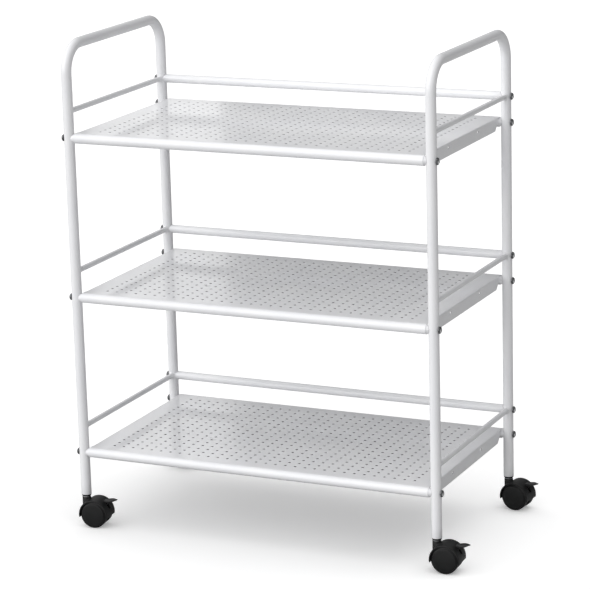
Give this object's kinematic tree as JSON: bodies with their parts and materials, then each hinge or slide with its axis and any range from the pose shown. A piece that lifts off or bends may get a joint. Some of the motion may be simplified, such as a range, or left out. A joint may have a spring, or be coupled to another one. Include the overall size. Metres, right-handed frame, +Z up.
{
  "type": "spa trolley cart",
  "caption": "Rolling spa cart: perforated sheet shelves with rolled edges between bent-tube side frames that end in handles, with guard rails and braked twin-wheel casters.",
  "frame": {"origin": "on the floor under the middle of the bounding box; the middle of the two side frames is 24 mm to the left of it and 11 mm in front of it, because the casters trail to +X and the rear left one also to +Y", "axes": "+X to the right seen from the open front, +Y to the back rails, +Z up"},
  "size_m": [0.7814, 0.4304, 0.909],
  "materials": {
    "white_paint": "glossy white powder coat",
    "dark_zinc": "dark zinc plate, smooth",
    "bright_steel": "bright zinc-plated steel",
    "black_nylon": "moulded black nylon, satin"
  },
  "bodies": {
    "cart": {"left_side_frame": "white_paint", "right_side_frame": "white_paint", "bottom_shelf_sheet": "white_paint", "bottom_shelf_front_tube": "white_paint", "bottom_shelf_rear_tube": "white_paint", "bottom_back_rail": "white_paint", "bottom_front_tube_bolt_right": "dark_zinc", "bottom_front_tube_bolt_left": "dark_zinc", "bottom_rear_tube_bolt_right": "dark_zinc", "bottom_rear_tube_bolt_left": "dark_zinc", "bottom_back_rail_bolt_right": "dark_zinc", "bottom_back_rail_bolt_left": "dark_zinc", "middle_shelf_sheet": "white_paint", "middle_shelf_front_tube": "white_paint", "middle_shelf_rear_tube": "white_paint", "middle_back_rail": "white_paint", "middle_front_tube_bolt_right": "dark_zinc", "middle_front_tube_bolt_left": "dark_zinc", "middle_rear_tube_bolt_right": "dark_zinc", "middle_rear_tube_bolt_left": "dark_zinc", "middle_back_rail_bolt_right": "dark_zinc", "middle_back_rail_bolt_left": "dark_zinc", "top_shelf_sheet": "white_paint", "top_shelf_front_tube": "white_paint", "top_shelf_rear_tube": "white_paint", "top_back_rail": "white_paint", "top_front_tube_bolt_right": "dark_zinc", "top_front_tube_bolt_left": "dark_zinc", "top_rear_tube_bolt_right": "dark_zinc", "top_rear_tube_bolt_left": "dark_zinc", "top_back_rail_bolt_right": "dark_zinc", "top_back_rail_bolt_left": "dark_zinc", "front_left_leg_plug": "black_nylon", "front_left_caster_stem": "bright_steel", "front_right_leg_plug": "black_nylon", "front_right_caster_stem": "bright_steel", "rear_left_leg_plug": "black_nylon", "rear_left_caster_stem": "bright_steel", "rear_right_leg_plug": "black_nylon", "rear_right_caster_stem": "bright_steel"},
    "front_left_caster": {"front_left_caster_housing": "black_nylon", "front_left_caster_axle": "bright_steel"},
    "front_left_wheel_a": {"front_left_caster_wheel_a": "black_nylon"},
    "front_left_wheel_b": {"front_left_caster_wheel_b": "black_nylon"},
    "front_left_brake": {"front_left_brake_lever": "black_nylon"},
    "front_right_caster": {"front_right_caster_housing": "black_nylon", "front_right_caster_axle": "bright_steel"},
    "front_right_wheel_a": {"front_right_caster_wheel_a": "black_nylon"},
    "front_right_wheel_b": {"front_right_caster_wheel_b": "black_nylon"},
    "front_right_brake": {"front_right_brake_lever": "black_nylon"},
    "rear_left_caster": {"rear_left_caster_housing": "black_nylon", "rear_left_caster_axle": "bright_steel"},
    "rear_left_wheel_a": {"rear_left_caster_wheel_a": "black_nylon"},
    "rear_left_wheel_b": {"rear_left_caster_wheel_b": "black_nylon"},
    "rear_left_brake": {"rear_left_brake_lever": "black_nylon"},
    "rear_right_caster": {"rear_right_caster_housing": "black_nylon", "rear_right_caster_axle": "bright_steel"},
    "rear_right_wheel_a": {"rear_right_caster_wheel_a": "black_nylon"},
    "rear_right_wheel_b": {"rear_right_caster_wheel_b": "black_nylon"},
    "rear_right_brake": {"rear_right_brake_lever": "black_nylon"}
  },
  "joints": [
    {"name": "front_left_swivel", "type": "hinge", "parent": "cart", "child": "front_left_caster", "pos_m": [-0.374, -0.19458, 0.045], "axis": [0, 0, 1], "continuous": true},
    {"name": "front_left_wheel_a_spin", "type": "hinge", "parent": "front_left_caster", "child": "front_left_wheel_a", "pos_m": [-0.3551, -0.19259, 0.025], "axis": [-0.1045, 0.9945, 0], "continuous": true},
    {"name": "front_left_wheel_b_spin", "type": "hinge", "parent": "front_left_caster", "child": "front_left_wheel_b", "pos_m": [-0.3551, -0.19259, 0.025], "axis": [-0.1045, 0.9945, 0], "continuous": true},
    {"name": "front_left_brake_press", "type": "hinge", "parent": "front_left_caster", "child": "front_left_brake", "pos_m": [-0.33939, -0.19094, 0.0403], "axis": [-0.1045, 0.9945, 0], "range_deg": [0, 18]},
    {"name": "front_right_swivel", "type": "hinge", "parent": "cart", "child": "front_right_caster", "pos_m": [0.326, -0.19458, 0.045], "axis": [0, 0, 1], "continuous": true},
    {"name": "front_right_wheel_a_spin", "type": "hinge", "parent": "front_right_caster", "child": "front_right_wheel_a", "pos_m": [0.34497, -0.19358, 0.025], "axis": [-0.0523, 0.9986, 0], "continuous": true},
    {"name": "front_right_wheel_b_spin", "type": "hinge", "parent": "front_right_caster", "child": "front_right_wheel_b", "pos_m": [0.34497, -0.19358, 0.025], "axis": [-0.0523, 0.9986, 0], "continuous": true},
    {"name": "front_right_brake_press", "type": "hinge", "parent": "front_right_caster", "child": "front_right_brake", "pos_m": [0.36075, -0.19276, 0.0403], "axis": [-0.0523, 0.9986, 0], "range_deg": [0, 18]},
    {"name": "rear_left_swivel", "type": "hinge", "parent": "cart", "child": "rear_left_caster", "pos_m": [-0.374, 0.17142, 0.045], "axis": [0, 0, 1], "continuous": true},
    {"name": "rear_left_wheel_a_spin", "type": "hinge", "parent": "rear_left_caster", "child": "rear_left_wheel_a", "pos_m": [-0.35863, 0.18259, 0.025], "axis": [-0.5878, 0.809, 0], "continuous": true},
    {"name": "rear_left_wheel_b_spin", "type": "hinge", "parent": "rear_left_caster", "child": "rear_left_wheel_b", "pos_m": [-0.35863, 0.18259, 0.025], "axis": [-0.5878, 0.809, 0], "continuous": true},
    {"name": "rear_left_brake_press", "type": "hinge", "parent": "rear_left_caster", "child": "rear_left_brake", "pos_m": [-0.34585, 0.19188, 0.0403], "axis": [-0.5878, 0.809, 0], "range_deg": [0, 18]},
    {"name": "rear_right_swivel", "type": "hinge", "parent": "cart", "child": "rear_right_caster", "pos_m": [0.326, 0.17142, 0.045], "axis": [0, 0, 1], "continuous": true},
    {"name": "rear_right_wheel_a_spin", "type": "hinge", "parent": "rear_right_caster", "child": "rear_right_wheel_a", "pos_m": [0.34486, 0.16911, 0.025], "axis": [0.1219, 0.9925, 0], "continuous": true},
    {"name": "rear_right_wheel_b_spin", "type": "hinge", "parent": "rear_right_caster", "child": "rear_right_wheel_b", "pos_m": [0.34486, 0.16911, 0.025], "axis": [0.1219, 0.9925, 0], "continuous": true},
    {"name": "rear_right_brake_press", "type": "hinge", "parent": "rear_right_caster", "child": "rear_right_brake", "pos_m": [0.36054, 0.16718, 0.0403], "axis": [0.1219, 0.9925, 0], "range_deg": [0, 18]}
  ]
}
